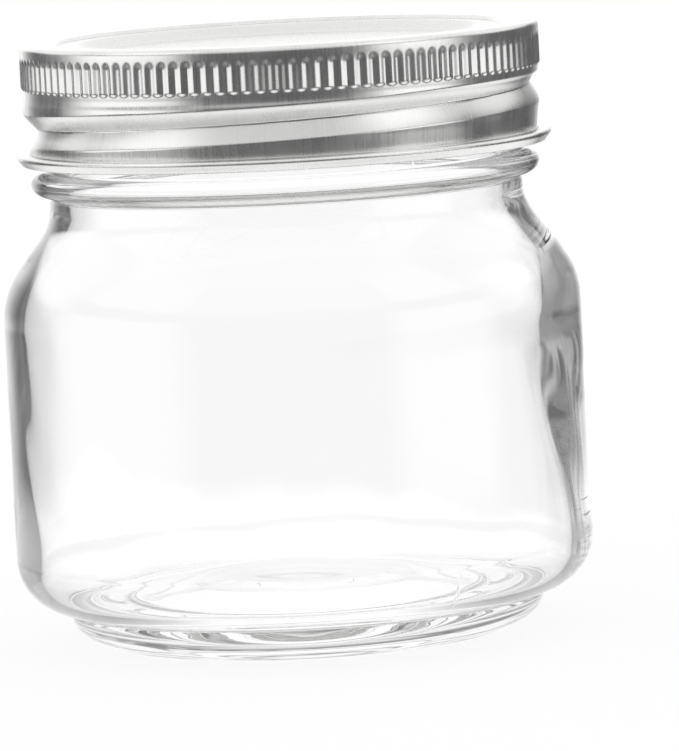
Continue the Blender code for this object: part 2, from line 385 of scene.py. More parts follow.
class PressTree:
    """A geometry tree that moves the points of a turned skin in or out.

    It measures each point's turn from the front, its height and its radius. A
    subclass says how far the point moves.
    """

    name = "Press"
    sizes: tuple[str, ...] = ()

    def __init__(self) -> None:
        """Start the tree with its named inputs and the measures of a point."""
        self.tree = tree = bpy.data.node_groups.new(self.name, "GeometryNodeTree")
        face = tree.interface
        face.new_socket("Geometry", in_out="INPUT", socket_type="NodeSocketGeometry")
        for size in self.sizes:
            face.new_socket(size, in_out="INPUT", socket_type="NodeSocketFloat")
        face.new_socket("Material", in_out="INPUT", socket_type="NodeSocketMaterial")
        face.new_socket("Geometry", in_out="OUTPUT", socket_type="NodeSocketGeometry")
        self.given = add(tree, "NodeGroupInput").outputs
        axes = add(tree, SPLIT, (add(tree, "GeometryNodeInputPosition"),)).outputs
        self.height = axes["Z"]
        self.flat = add(tree, JOIN, (axes["X"], axes["Y"]))
        self.radius = add(tree, VECTOR, (self.flat,), operation="LENGTH").outputs["Value"]
        # The front lies three quarters of a turn on from +X
        angle = add(tree, SUM, (axes["Y"], axes["X"]), operation="ARCTAN2")
        turned = add(tree, SUM, (angle, 1.0 / math.tau, 0.75), operation="MULTIPLY_ADD")
        whole_turn = add(tree, SUM, (turned,), operation="FRACT")
        self.turn = add(tree, SUM, (whole_turn, 0.5), operation="SUBTRACT")
        self.skin = add(tree, "GeometryNodeInputNamedAttribute", {"Name": "skin"},
                        data_type="FLOAT")

    def zone(self) -> bpy.types.Node:
        """A share that is one between bottom and top and fades out towards both."""
        tree, given = self.tree, self.given
        below_top = add(tree, SUM, (given["Top"], self.height), operation="SUBTRACT")
        above_bottom = add(tree, SUM, (self.height, given["Bottom"]), operation="SUBTRACT")
        edge = add(tree, SUM, (below_top, above_bottom), operation="MINIMUM")
        return add(tree, RAMP, (edge, 0.0, given["Fade"], 0.0, 1.0), **SOFT)

    def from_nearest(self, turn: bpy.types.Node) -> tuple[bpy.types.Node, bpy.types.Node]:
        """Measure how far each point is from the nearest of a count of equal steps.

        Args:
            turn: turns from the first step.

        Returns:
            The distance round the skin, and the length of one step.
        """
        tree, count = self.tree, self.given["Count"]
        steps = add(tree, SUM, (turn, count, 0.5), operation="MULTIPLY_ADD")
        step = add(tree, SUM, (steps,), operation="FRACT")
        phase = add(tree, SUM, (step, 0.5), operation="SUBTRACT")
        round_length = add(tree, SUM, (self.radius, math.tau), operation="MULTIPLY")
        pitch = add(tree, SUM, (round_length, count), operation="DIVIDE")
        beside = add(tree, SUM, (phase, pitch), operation="MULTIPLY")
        return add(tree, SUM, (beside,), operation="ABSOLUTE"), pitch

    def close(self, amount: Any, *shares: Any) -> bpy.types.NodeTree:
        """Move each point away from the axis and end the tree.

        Args:
            amount: how far the point moves.
            shares: what that is multiplied by, one after another.

        Returns:
            The finished tree.
        """
        tree, given = self.tree, self.given
        for share in shares:
            amount = add(tree, SUM, (amount, share), operation="MULTIPLY")
        outward = add(tree, VECTOR, (self.flat,), operation="NORMALIZE")
        offset = add(tree, VECTOR, {0: outward, "Scale": amount}, operation="SCALE")
        moved = add(tree, "GeometryNodeSetPosition",
                    {"Geometry": given["Geometry"], "Offset": offset})
        whole = add(tree, "GeometryNodeRealizeInstances", {"Geometry": moved})
        dressed = add(tree, "GeometryNodeSetMaterial",
                      {"Geometry": whole, "Material": given["Material"]})
        add(tree, "NodeGroupOutput", {"Geometry": dressed})
        return tree


class HelixTree(PressTree):
    """A thread that winds round the skin on a helix, pressed in or standing out."""

    name = "Helix thread"
    sizes = ("Lead", "Middle", "Middle Turn", "Full Turns", "Taper Turns", "Crest",
             "Upper Root", "Lower Root", "Roundness", "Rise", "Bottom", "Top", "Fade",
             "Least Radius")

    def build(self) -> bpy.types.NodeTree:
        """Find each point's nearest winding, and raise it by its distance from there."""
        tree, given = self.tree, self.given
        above = add(tree, SUM, (self.height, given["Middle"]), operation="SUBTRACT")
        leads = add(tree, SUM, (above, given["Lead"]), operation="DIVIDE")
        windings = add(tree, SUM, (leads, self.turn), operation="SUBTRACT")
        nearest = add(tree, SUM, (windings,), operation="ROUND")
        beside = add(tree, SUM, (windings, nearest), operation="SUBTRACT")
        across = add(tree, SUM, (beside, given["Lead"]), operation="MULTIPLY")
        along = add(tree, SUM, (self.turn, nearest), operation="ADD")
        offset = add(tree, SUM, (along, given["Middle Turn"]), operation="SUBTRACT")
        from_middle = add(tree, SUM, (offset,), operation="ABSOLUTE")
        half = add(tree, SUM, (given["Full Turns"], 0.5), operation="MULTIPLY")
        last = add(tree, SUM, (half, given["Taper Turns"]), operation="ADD")
        ends = add(tree, RAMP, (from_middle, half, last, 1.0, 0.0), **SOFT)
        upper = add(tree, SUM, (across, 0.0), operation="GREATER_THAN")
        wider = add(tree, SUM, (given["Upper Root"], given["Lower Root"]), operation="SUBTRACT")
        root = add(tree, SUM, (upper, wider, given["Lower Root"]), operation="MULTIPLY_ADD")
        away = add(tree, SUM, (across,), operation="ABSOLUTE")
        # A flat-sided ridge and a round one, mixed by the roundness
        ridges = [add(tree, RAMP, (away, given["Crest"], root, 1.0, 0.0), **kind)
                  for kind in (SOFT, {})]
        softer = add(tree, SUM, ridges, operation="SUBTRACT")
        ridge = add(tree, SUM, (softer, given["Roundness"], ridges[1]), operation="MULTIPLY_ADD")
        outside = add(tree, SUM, (self.radius, given["Least Radius"]), operation="GREATER_THAN")
        return self.close(ridge, ends, self.zone(), outside, given["Rise"])


class FluteTree(PressTree):
    """Upright flutes at equal steps, arched above and open below between rounded ribs.

    Its two slopes are the width over the height of an arch and of a rib's end.
    """

    name = "Grip flutes"
    sizes = ("Count", "Floor", "Crest", "Depth", "Bottom", "Top", "Lowest")
    arch_slope = 0.65
    rib_slope = 1.4

    def build(self) -> bpy.types.NodeTree:
        """Sink each point that lies in a flute or below the end of a rib."""
        tree, given, height = self.tree, self.given, self.height
        across, pitch = self.from_nearest(self.turn)
        half = add(tree, SUM, (pitch, 0.5), operation="MULTIPLY")
        from_crest = add(tree, SUM, (half, across), operation="SUBTRACT")
        edge = add(tree, SUM, (half, given["Crest"]), operation="SUBTRACT")
        arch = add(tree, SUM, (edge, -1.0 / self.arch_slope, given["Top"]),
                   operation="MULTIPLY_ADD")
        above = add(tree, SUM, (height, arch), operation="SUBTRACT")
        above = add(tree, SUM, (above, 0.0), operation="MAXIMUM")
        over = add(tree, SUM, (above, self.arch_slope), operation="MULTIPLY")
        rib_edge = add(tree, SUM, (half, given["Floor"]), operation="SUBTRACT")
        rib_foot = add(tree, SUM, (rib_edge, 1.0 / self.rib_slope, given["Bottom"]),
                       operation="MULTIPLY_ADD")
        below = add(tree, SUM, (rib_foot, height), operation="SUBTRACT")
        under = add(tree, SUM, (below, self.rib_slope), operation="MULTIPLY")
        sinks = []
        for beside, beyond, levels in ((across, over, (given["Floor"], edge, 1.0, 0.0)),
                                       (from_crest, under, (given["Crest"], rib_edge, 0.0, 1.0))):
            step = add(tree, JOIN, (beside, beyond))
            away = add(tree, VECTOR, (step,), operation="LENGTH").outputs["Value"]
            sinks.append(add(tree, RAMP, (away, *levels), **SOFT))
        low = add(tree, SUM, (below, 0.0), operation="GREATER_THAN")
        ended = add(tree, SUM, (sinks[1], low), operation="MULTIPLY")
        sunk = add(tree, SUM, (sinks[0], ended), operation="MAXIMUM")
        high = add(tree, SUM, (height, given["Lowest"]), operation="GREATER_THAN")
        return self.close(sunk, high, self.skin, given["Depth"], -1.0)


class SeamTree(PressTree):
    """Fine upright seams that the halves of the mould leave on the glass."""

    name = "Mould seams"
    sizes = ("Count", "First Turn", "Width", "Rise", "Bottom", "Top", "Fade")

    def build(self) -> bpy.types.NodeTree:
        """Raise each point of the moulded skin by its distance from the nearest seam."""
        tree, given = self.tree, self.given
        from_first = add(tree, SUM, (self.turn, given["First Turn"]), operation="SUBTRACT")
        across = self.from_nearest(from_first)[0]
        half = add(tree, SUM, (given["Width"], 0.5), operation="MULTIPLY")
        ridge = add(tree, RAMP, (across, 0.0, half, 1.0, 0.0), **SOFT)
        return self.close(ridge, self.zone(), self.skin, given["Rise"])


@dataclass(frozen=True)
class SodaLimeGlass:
    """Blown soda-lime glass, clear and almost without colour.

    The eye gets sharp refraction with a faint slow ripple, stronger on the
    blown inside than on the moulded outside, and a few dull patches of handling.
    """

    name: str = "soda_lime_glass"
    tint: str = "#FFFFFF"
    ior: float = 1.52
    ripple_mm: float = 9.0
    ripple_stretch: float = 0.45
    ripple_depth_mm: float = 0.012
    outside_share: float = 0.35
    haze_mm: float = 6.0
    haze_span: Pair = (0.55, 0.8)
    roughness: Pair = (0.0, 0.02)

    def material(self) -> bpy.types.Material:
        """Build the glass from a ripple, a haze and the skin of the piece."""
        material, tree, place = blank_material(self.name)
        stretch = add(tree, "ShaderNodeMapping", {
            "Vector": place, "Scale": (1.0, 1.0, self.ripple_stretch)})
        ripple = add(tree, NOISE, {
            "Vector": stretch, "Scale": 1.0 / (self.ripple_mm * MM), "Detail": 1.0})
        skin = add(tree, "ShaderNodeAttribute", attribute_name="skin").outputs["Fac"]
        share = add(tree, RAMP, (skin, Skin.INSIDE.value, Skin.OUTSIDE.value,
                                 1.0, self.outside_share))
        bump = add(tree, "ShaderNodeBump", {
            "Strength": share, "Distance": self.ripple_depth_mm * MM, "Height": ripple})
        haze = add(tree, NOISE, {
            "Vector": place, "Scale": 1.0 / (self.haze_mm * MM), "Detail": 4.0, "Roughness": 0.6})
        dull = add(tree, RAMP, (haze, *self.haze_span, *self.roughness))
        shader = add(tree, "ShaderNodeBsdfPrincipled", {
            "Base Color": linear(self.tint), "Roughness": dull, "IOR": self.ior,
            "Transmission Weight": 1.0, "Normal": bump})
        add(tree, "ShaderNodeOutputMaterial", {"Surface": shader})
        return material


class OpaqueFinish:
    """What the finishes that let no light through have in common."""

    light: str
    shade: str
    roughness: Pair
    tone_span: Pair
    rough_span: Pair

    def cover(self, tree: bpy.types.NodeTree, tone_by: bpy.types.Node, rough_by: bpy.types.Node,
              relief: Mapping[str, Any], shader: Mapping[str, Any]) -> None:
        """Join tone, gloss and relief in one shader and end the material.

        Args:
            tree: the material's node tree.
            tone_by: node whose value goes from the shade to the light tone.
            rough_by: node whose value goes from the least to the most roughness.
            relief: inputs of the bump by name.
            shader: further inputs of the shader by name.
        """
        tone = add(tree, "ShaderNodeValToRGB", (tone_by,))
        for stop, value, colour in zip(
                tone.color_ramp.elements, self.tone_span, (self.shade, self.light)):
            stop.position, stop.color = value, linear(colour)
        rough = add(tree, RAMP, (rough_by, *self.rough_span, *self.roughness))
        bump = add(tree, "ShaderNodeBump", relief)
        surface = add(tree, "ShaderNodeBsdfPrincipled", {
            "Base Color": tone, "Roughness": rough, "Normal": bump, **shader})
        add(tree, "ShaderNodeOutputMaterial", {"Surface": surface})


@dataclass(frozen=True)
class BrushedTinplate(OpaqueFinish):
    """Tin-plated steel sheet, bright and finely brushed upwards before it was rolled.

    The eye gets long soft highlights broken into upright hairlines, with a
    slight mottle from the tin.
    """

    name: str = "brushed_tinplate"
    light: str = "#EEEEED"
    shade: str = "#E2E2E1"
    around_mm: float = 34.0
    line_mm: float = 0.32
    line_length_mm: float = 9.0
    line_depth_mm: float = 0.0035
    line_share: float = 0.75
    mottle_mm: float = 5.0
    tone_span: Pair = (0.6, 1.0)
    rough_span: Pair = (0.55, 1.2)
    roughness: Pair = (0.21, 0.36)

    def material(self) -> bpy.types.Material:
        """Build the metal from upright hairlines and a slow mottle."""
        material, tree, place = blank_material(self.name)
        # Real brush marks are about 0.05 mm apart; they are drawn coarser so that they show
        axes = add(tree, SPLIT, (place,)).outputs
        flat = add(tree, JOIN, (axes["X"], axes["Y"]))
        way = add(tree, VECTOR, (flat,), operation="NORMALIZE")
        around = add(tree, VECTOR, {0: way, "Scale": self.around_mm / self.line_mm},
                     operation="SCALE")
        rise = add(tree, SUM, (axes["Z"], self.line_length_mm * MM), operation="DIVIDE")
        upright = add(tree, JOIN, {"Z": rise})
        spot = add(tree, VECTOR, (around, upright), operation="ADD")
        lines = add(tree, NOISE, {"Vector": spot, "Scale": 1.0, "Detail": 2.0, "Roughness": 0.6})
        mottle = add(tree, NOISE, {
            "Vector": place, "Scale": 1.0 / (self.mottle_mm * MM), "Detail": 3.0})
        both = add(tree, SUM, (lines, self.line_share, mottle), operation="MULTIPLY_ADD")
        self.cover(tree, both, both,
                   {"Strength": 1.0, "Distance": self.line_depth_mm * MM, "Height": lines},
                   {"Metallic": 1.0})
        return material


@dataclass(frozen=True)
class LacqueredTinplate(OpaqueFinish):
    """Tin-plated steel sheet under a clear baked lacquer, satin and very pale.

    The eye gets a soft pale gloss with a fine grain from the rolling mill and
    the faint orange peel of the lacquer.
    """

    name: str = "lacquered_tinplate"
    light: str = "#E9E9E8"
    shade: str = "#E3E3E2"
    grain_mm: float = 0.25
    grain_length_mm: float = 4.0
    grain_depth_mm: float = 0.00015
    peel_mm: float = 1.4
    peel_share: float = 0.6
    tone_span: Pair = (0.5, 1.0)
    rough_span: Pair = (0.5, 1.1)
    roughness: Pair = (0.22, 0.36)
    coat: float = 0.25

    def material(self) -> bpy.types.Material:
        """Build the metal from the mill's grain and the lacquer's peel."""
        material, tree, place = blank_material(self.name)
        # Mill grain is finer than this; it is drawn coarser so that it shows
        scale = [1.0 / (size * MM) for size in (self.grain_mm, self.grain_length_mm, self.grain_mm)]
        stretch = add(tree, "ShaderNodeMapping", {"Vector": place, "Scale": scale})
        grain = add(tree, NOISE, {"Vector": stretch, "Scale": 1.0, "Detail": 2.0})
        peel = add(tree, NOISE, {
            "Vector": place, "Scale": 1.0 / (self.peel_mm * MM), "Detail": 1.0})
        both = add(tree, SUM, (peel, self.peel_share, grain), operation="MULTIPLY_ADD")
        self.cover(tree, both, both,
                   {"Strength": 1.0, "Distance": self.grain_depth_mm * MM, "Height": both},
                   {"Metallic": 1.0, "Coat Weight": self.coat})
        return material


@dataclass(frozen=True)
class Plastisol(OpaqueFinish):
    """Flowed-in plastisol sealing compound, soft, matt and greyish cream.

    The eye gets a rubbery low gloss with fine pits and a slow unevenness from
    the way it flowed and set.
    """

    name: str = "plastisol_compound"
    light: str = "#D2CDBF"
    shade: str = "#B4AE9F"
    pit_mm: float = 0.35
    pit_depth_mm: float = 0.02
    flow_mm: float = 4.0
    tone_span: Pair = (0.35, 0.65)
    rough_span: Pair = (0.3, 0.7)
    roughness: Pair = (0.45, 0.62)

    def material(self) -> bpy.types.Material:
        """Build the compound from its pits and its flow."""
        material, tree, place = blank_material(self.name)
        flow, pits = (
            add(tree, NOISE, {"Vector": place, "Scale": 1.0 / (size * MM), "Detail": detail})
            for size, detail in ((self.flow_mm, 3.0), (self.pit_mm, 2.0)))
        self.cover(tree, flow, pits,
                   {"Strength": 0.8, "Distance": self.pit_depth_mm * MM, "Height": pits}, {})
        return material


@dataclass
class Heights:
    """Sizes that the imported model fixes, read from its nodes and its record."""

    jar_top: float
    jar_radius: float
    ring_bottom: float
    ring_top: float
    disc_top: float
    disc_radius: float
    band_top: float
    band_radius: float
    lead: float

    @classmethod
    def from_frame(cls, frame: Mapping[str, Any]) -> "Heights":
        """Read the sizes from the frame.

        Args:
            frame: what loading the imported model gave.

        Returns:
            The sizes in metres.
        """
        jar_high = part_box("glass_jar")[1]
        ring_low, ring_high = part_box("sealing_ring")
        disc_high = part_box("lid_disc")[1]
        band_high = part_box("screw_band")[1]
        ratio = frame["record"]["behaviour"]["couplings"][0]["ratio"]
        return cls(jar_high.z, jar_high.x, ring_low.z, ring_high.z, disc_high.z, disc_high.x,
                   band_high.z, band_high.x, ratio * math.tau)


@dataclass
class GlassJar:
    """The blown glass jar: hollow base, foot, body, shoulder, neck, bead, thread and rim.

    Pairs are a distance outwards or inwards and one up or down, as curves use them.
    """

    top: float
    radius: float
    bead_middle: float
    lead: float
    roll_middle: float
    wall: float = 0.0030
    shoulder_height: float = 0.0150
    shoulder_fillet: float = 0.0051
    shoulder_round: float = 0.0075
    heel_round: float = 0.0070
    foot_inset: float = 0.0068
    foot_height: float = 0.0050
    foot_reach: float = 0.0072
    foot_fillet: float = 0.0009
    fillet_share: float = 0.4
    bearing_width: float = 0.0008
    push_up: float = 0.0052
    push_up_crown: float = 0.0004
    push_up_handle: Pair = (0.0030, 0.0007)
    ledge: Pair = (0.0016, 0.0022)
    ledge_handle: Pair = (0.0030, 0.0005)
    ledge_edge: Pair = (0.0008, 0.0002)
    hollow_share: float = 0.6
    floor_level: float = 0.0068
    floor_round: float = 0.0046
    floor_handle: float = 0.0050
    dome_radius: float = 0.0136
    dome_rise: float = 0.0023
    dome_foot: Pair = (0.0050, 0.0008)
    dome_edge: Pair = (0.0012, 0.0003)
    mouth_radius: float = 0.0284
    finish_wall: float = 0.0030
    rim_round: float = 0.0009
    neck_relief: float = 0.0003
    neck_height: float = 0.0016
    bead_rise: float = 0.0020
    bead_height: float = 0.0031
    bead_gap: float = 0.0008
    bead_fillet: float = 0.0003
    thread_turns: float = 1.2
    thread_start: float = 0.0032
    thread_rise: float = 0.0015
    thread_root: float = 0.0026
    thread_crest: float = 0.0007
    thread_taper: float = 0.10
    thread_offset: float = 0.00215
    thread_fade: float = 0.0004
    thread_sink: float = 0.0002
    seam_turn: float = 31.0 / 360.0
    seam_width: float = 0.0005
    seam_rise: float = 0.000025
    seam_fade: float = 0.0012
    seam_heel: Pair = (-0.0005, 0.0065)
    seam_shoulder: float = 0.0015
    seam_columns: int = 3
    swell_mm: float = 1.9
    swell_degrees: float = 95.0
    swell_power: float = 1.6
    swell_level_mm: float = 37.0
    swell_reach_mm: Pair = (13.0, 10.0)
    waves: tuple[tuple[float, float, float, float], ...] = (
        (0.06, 3, 0.09, 0.4), (0.04, 5, -0.14, 2.1), (0.03, 8, 0.21, 4.0),
        (0.02, 13, -0.10, 1.3), (0.012, 21, 0.32, 5.2))
    uneven_low: Pair = (0.001, 0.012)
    uneven_high: Pair = (0.004, 0.02)
    columns: int = 300
    finish: SodaLimeGlass = field(default_factory=SodaLimeGlass)

    @property
    def finish_radius(self) -> float:
        """Radius of the plain outside under the thread."""
        return self.mouth_radius + self.finish_wall

    @property
    def neck_radius(self) -> float:
        """Radius of the neck under the bead."""
        return self.finish_radius - self.neck_relief

    @property
    def shoulder_top(self) -> float:
        """Height at which the neck turns into the shoulder."""
        return self.bead_middle - self.bead_height / 2 - self.neck_height

    def outer_rows(self) -> list[Pair]:
        """The moulded outside, from the middle of the hollow base up to the rim."""
        foot_radius, fillet = self.radius - self.foot_inset, self.foot_fillet * self.fillet_share
        foot = (foot_radius - self.foot_reach, self.foot_height - fillet)
        bearing = foot[0] - self.bearing_width
        heel = (self.radius - self.heel_round, self.foot_height + self.heel_round)
        reach = (foot_radius + self.foot_fillet - heel[0]) / self.heel_round
        heel_angle = -math.acos(min(max(reach, 0.0), 1.0))
        heel_foot = (heel[0] + self.heel_round * math.cos(heel_angle),
                     heel[1] + self.heel_round * math.sin(heel_angle))
        neck, finish, dome = self.neck_radius, self.finish_radius, self.dome_radius
        top, bottom = self.shoulder_top, self.shoulder_top - self.shoulder_height
        crown, half_bead = self.push_up + self.push_up_crown, self.bead_height / 2
        ledge = (bearing - self.ledge[0], self.push_up - self.ledge[1])
        rows = Section([(0.0, crown)])
        rows.curve((dome * 0.6, crown), (dome * 0.9, self.push_up + self.push_up_crown / 2),
                   (dome, self.push_up), 10)
        rows.curve((dome + self.push_up_handle[0], self.push_up - self.push_up_handle[1]),
                   (ledge[0] - self.ledge_handle[0], ledge[1] + self.ledge_handle[1]), ledge, 12)
        rows.curve((ledge[0] + self.ledge_edge[0], ledge[1] - self.ledge_edge[1]),
                   (bearing, ledge[1] * self.hollow_share), (bearing, 0.0), 16)
        rows.line((foot[0], 0.0), 2)
        rows.arc(foot, self.foot_reach, -90, 0, 26, stretch=foot[1] / self.foot_reach)
        rows.curve((foot_radius, self.foot_height), (foot_radius + fillet, heel_foot[1]),
                   heel_foot, 8)
        rows.arc(heel, self.heel_round, math.degrees(heel_angle), 0, 18)
        rows.line((self.radius, bottom), 8)
        rows.curve((self.radius, bottom + self.shoulder_round), (neck, top - self.shoulder_fillet),
                   (neck, top), 28)
        rows.line((neck, self.bead_middle - half_bead - self.neck_relief), 3)
        rows.arc((finish, self.bead_middle), self.bead_rise, -90, 90, 16,
                 stretch=half_bead / self.bead_rise)
        rows.reach((finish, self.bead_middle + half_bead + self.bead_fillet))
        rows.line((finish, self.top - self.rim_round), 38)
        rows.arc((finish - self.rim_round, self.top - self.rim_round), self.rim_round, 0, 90, 6)
        return rows.points

    def inner_rows(self) -> list[Pair]:
        """The blown inside, from the rim down to the middle of the floor."""
        mouth, inner, floor = self.mouth_radius, self.radius - self.wall, self.floor_level
        slope = math.atan2(self.radius - self.neck_radius,
                           self.shoulder_height - self.shoulder_fillet)
        top = self.shoulder_top - self.wall * math.tan(slope / 2)
        bottom = top - self.shoulder_height
        edge, dome, crown = inner - self.floor_round, self.dome_radius, floor + self.dome_rise
        rows = Section()
        rows.arc((mouth + self.rim_round, self.top - self.rim_round), self.rim_round, 90, 180, 6)
        rows.line((mouth, top), 16)
        rows.curve((mouth, top - self.shoulder_fillet), (inner, bottom + self.shoulder_round),
                   (inner, bottom), 24)
        rows.line((inner, floor + self.floor_round), 36)
        rows.arc((edge, floor + self.floor_round), self.floor_round, 0, -90, 16)
        rows.curve((edge - self.floor_handle, floor),
                   (dome + self.dome_foot[0], crown - self.dome_foot[1]),
                   (dome, crown - self.dome_edge[1]), 12)
        rows.curve((dome - self.dome_edge[0], crown), (dome * 0.5, crown), (0.0, crown), 10)
        return rows.points

    def unevenness(self, turn: np.ndarray, height: np.ndarray) -> np.ndarray:
        """How much thicker the wall is than its least, from the way it was blown.

        Args:
            turn: turns from the front, to the right.
            height: height above the foot.

        Returns:
            The extra thickness in metres, on the inner side.
        """
        around = turn * math.tau
        z = height / MM
        side = (0.5 + 0.5 * np.cos(around - math.radians(self.swell_degrees))) ** self.swell_power
        reach = np.where(z < self.swell_level_mm, *self.swell_reach_mm)
        thick = self.swell_mm * side * np.exp(-((z - self.swell_level_mm) / reach) ** 2)
        ripple = sum(a * np.sin(m * around + k * z + p) for a, m, k, p in self.waves)
        return (thick + ripple) * MM

    def column_angles(self) -> np.ndarray:
        """Angles of the columns, with close ones at the two mould seams."""
        angles = list(np.arange(self.columns) * math.tau / self.columns)
        step = self.seam_width / self.radius / (self.seam_columns + 1)
        for half in (0.0, 0.5):
            middle = (self.seam_turn + half - 0.25) * math.tau
            angles += [(middle + step * index) % math.tau
                       for index in range(-self.seam_columns, self.seam_columns + 1)]
        return np.unique(np.round(np.array(angles), 7))

    def mesh(self) -> bpy.types.Mesh:
        """Skin the section, with the inner wall as uneven as it was blown."""
        outer, inner = self.outer_rows(), self.inner_rows()
        rows, first = outer + inner[1:], len(outer)
        angles = self.column_angles()
        radius, height = spread(rows, len(angles))
        turn = (angles / math.tau + 0.75) % 1.0 - 0.5
        z = height[first:]
        low, high = self.floor_level + self.uneven_low[0], self.shoulder_top + self.uneven_high[0]
        share = (smooth_step((z - low) / self.uneven_low[1])
                 * smooth_step((high - z) / self.uneven_high[1]))
        radius[first:] -= self.unevenness(turn[None, :], z) * share
        skins = [Skin.OUTSIDE.value] * first + [Skin.INSIDE.value] * (len(rows) - first)
        return ring_mesh("glass_jar_blown", turn_rings(radius, height, angles), skins=skins)

    def build(self) -> bpy.types.Object:
        """Make the jar, raise its thread and seams, and dress it."""
        material = self.finish.material()
        piece = place_mesh("glass_jar_blown", self.mesh())
        middle = self.roll_middle + self.thread_offset
        top_turn = (self.top - self.thread_start - middle) / self.lead
        press(piece, HelixTree().build(), material, {
            "Lead": self.lead, "Middle": middle,
            "Middle Turn": top_turn - self.thread_turns / 2,
            "Full Turns": self.thread_turns - 2 * self.thread_taper,
            "Taper Turns": self.thread_taper, "Crest": self.thread_crest / 2,
            "Upper Root": self.thread_root / 2, "Lower Root": self.thread_root / 2,
            "Roundness": 1.0, "Rise": self.thread_rise,
            "Bottom": self.bead_middle + self.bead_height / 2, "Top": self.top,
            "Fade": self.thread_fade, "Least Radius": self.finish_radius - self.thread_sink})
        seam = SeamTree().build()
        heel = (self.foot_height + end for end in self.seam_heel)
        shoulder = (self.shoulder_top - self.seam_shoulder, self.bead_middle + self.bead_height)
        for bottom, top in (heel, shoulder):
            press(piece, seam, material, {
                "Count": 2.0, "First Turn": self.seam_turn, "Width": self.seam_width,
                "Rise": self.seam_rise, "Bottom": bottom, "Top": top, "Fade": self.seam_fade})
        settle(piece)
        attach(piece, Body.JAR.value)
        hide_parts("glass_jar")
        return piece


@dataclass
class SealingRing:
    """The soft ring of compound between the rim and the disc."""

    bottom: float
    top: float
    inner: float = 0.0287
    outer: float = 0.0311
    edge_round: float = 0.00035
    flow: float = 0.00012
    waves: tuple[tuple[float, float, float], ...] = ((1.0, 7, 0.6), (0.7, 12, 2.2), (0.5, 23, 0.0))
    columns: int = 192
    finish: Plastisol = field(default_factory=Plastisol)

    def build(self) -> bpy.types.Object:
        """Make the ring with softly flowed edges and dress it."""
        r = self.edge_round
        rows = Section()
        for middle, start in (((self.outer - r, self.bottom + r), -90),
                              ((self.outer - r, self.top - r), 0),
                              ((self.inner + r, self.top - r), 90),
                              ((self.inner + r, self.bottom + r), 180)):
            rows.arc(middle, r, start, start + 90, 5)
        angles = even_angles(self.columns)
        radius, height = spread(rows.points, self.columns)
        wander = sum(a * np.sin(m * angles + p) for a, m, p in self.waves)
        inward = (self.outer - radius) / (self.outer - self.inner)
        radius += inward * self.flow * wander[None, :]
        mesh = ring_mesh("sealing_ring_flowed", turn_rings(radius, height, angles), closed=True)
        piece = place_mesh("sealing_ring_flowed", mesh)
        mesh.materials.append(self.finish.material())
        settle(piece)
        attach(piece, Body.LID.value)
        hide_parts("sealing_ring")
        return piece


@dataclass
class LidDisc:
    """The pressed lid disc: sunken panel, raised seat and dropped edge."""

    top: float
    radius: float
    seat_radius: float = 0.0284
    sheet: float = 0.00025
    panel_depth: float = 0.0013
    panel_inset: float = 0.0016
    panel_slope: float = 0.0012
    panel_round: float = 0.0006
    edge_drop: float = 0.0005
    edge_width: float = 0.0008
    edge_handles: tuple[Pair, Pair] = ((0.0002, 0.0001), (0.0004, 0.0))
    sharp_degrees: float = 50.0
    columns: int = 240
    finish: LacqueredTinplate = field(default_factory=LacqueredTinplate)

    def rows(self) -> list[Pair]:
        """Upper skin of the disc, from its dropped edge to its middle."""
        step_top = self.seat_radius - self.panel_inset
        step_bottom = step_top - self.panel_slope
        top, panel, soft = self.top, self.top - self.panel_depth, self.panel_round
        first, second = ((self.radius - inward, top - down) for inward, down in self.edge_handles)
        rows = Section([(self.radius, top - self.edge_drop)])
        rows.curve(first, second, (self.radius - self.edge_width, top), 6)
        rows.line((step_top + soft, top), 6)
        rows.curve((step_top, top), (step_bottom, panel), (step_bottom - soft, panel), 12)
        rows.line((0.0, panel), 14)
        return rows.points

    def build(self) -> bpy.types.Object:
        """Make the disc from its skin and dress it."""
        rings = turn_rings(*spread(self.rows(), self.columns), even_angles(self.columns))
        mesh = ring_mesh("lid_disc_pressed", rings)
        piece = place_mesh("lid_disc_pressed", mesh)
        mesh.materials.append(self.finish.material())
        # The skin is the upper one, so the sheet's thickness goes below it
        shell = piece.modifiers.new("Sheet", "SOLIDIFY")
        shell.thickness, shell.offset = self.sheet, -1.0
        shell.use_even_offset = shell.use_quality_normals = True
        settle(piece, self.sharp_degrees)
        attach(piece, Body.LID.value)
        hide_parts("lid_disc")
        return piece


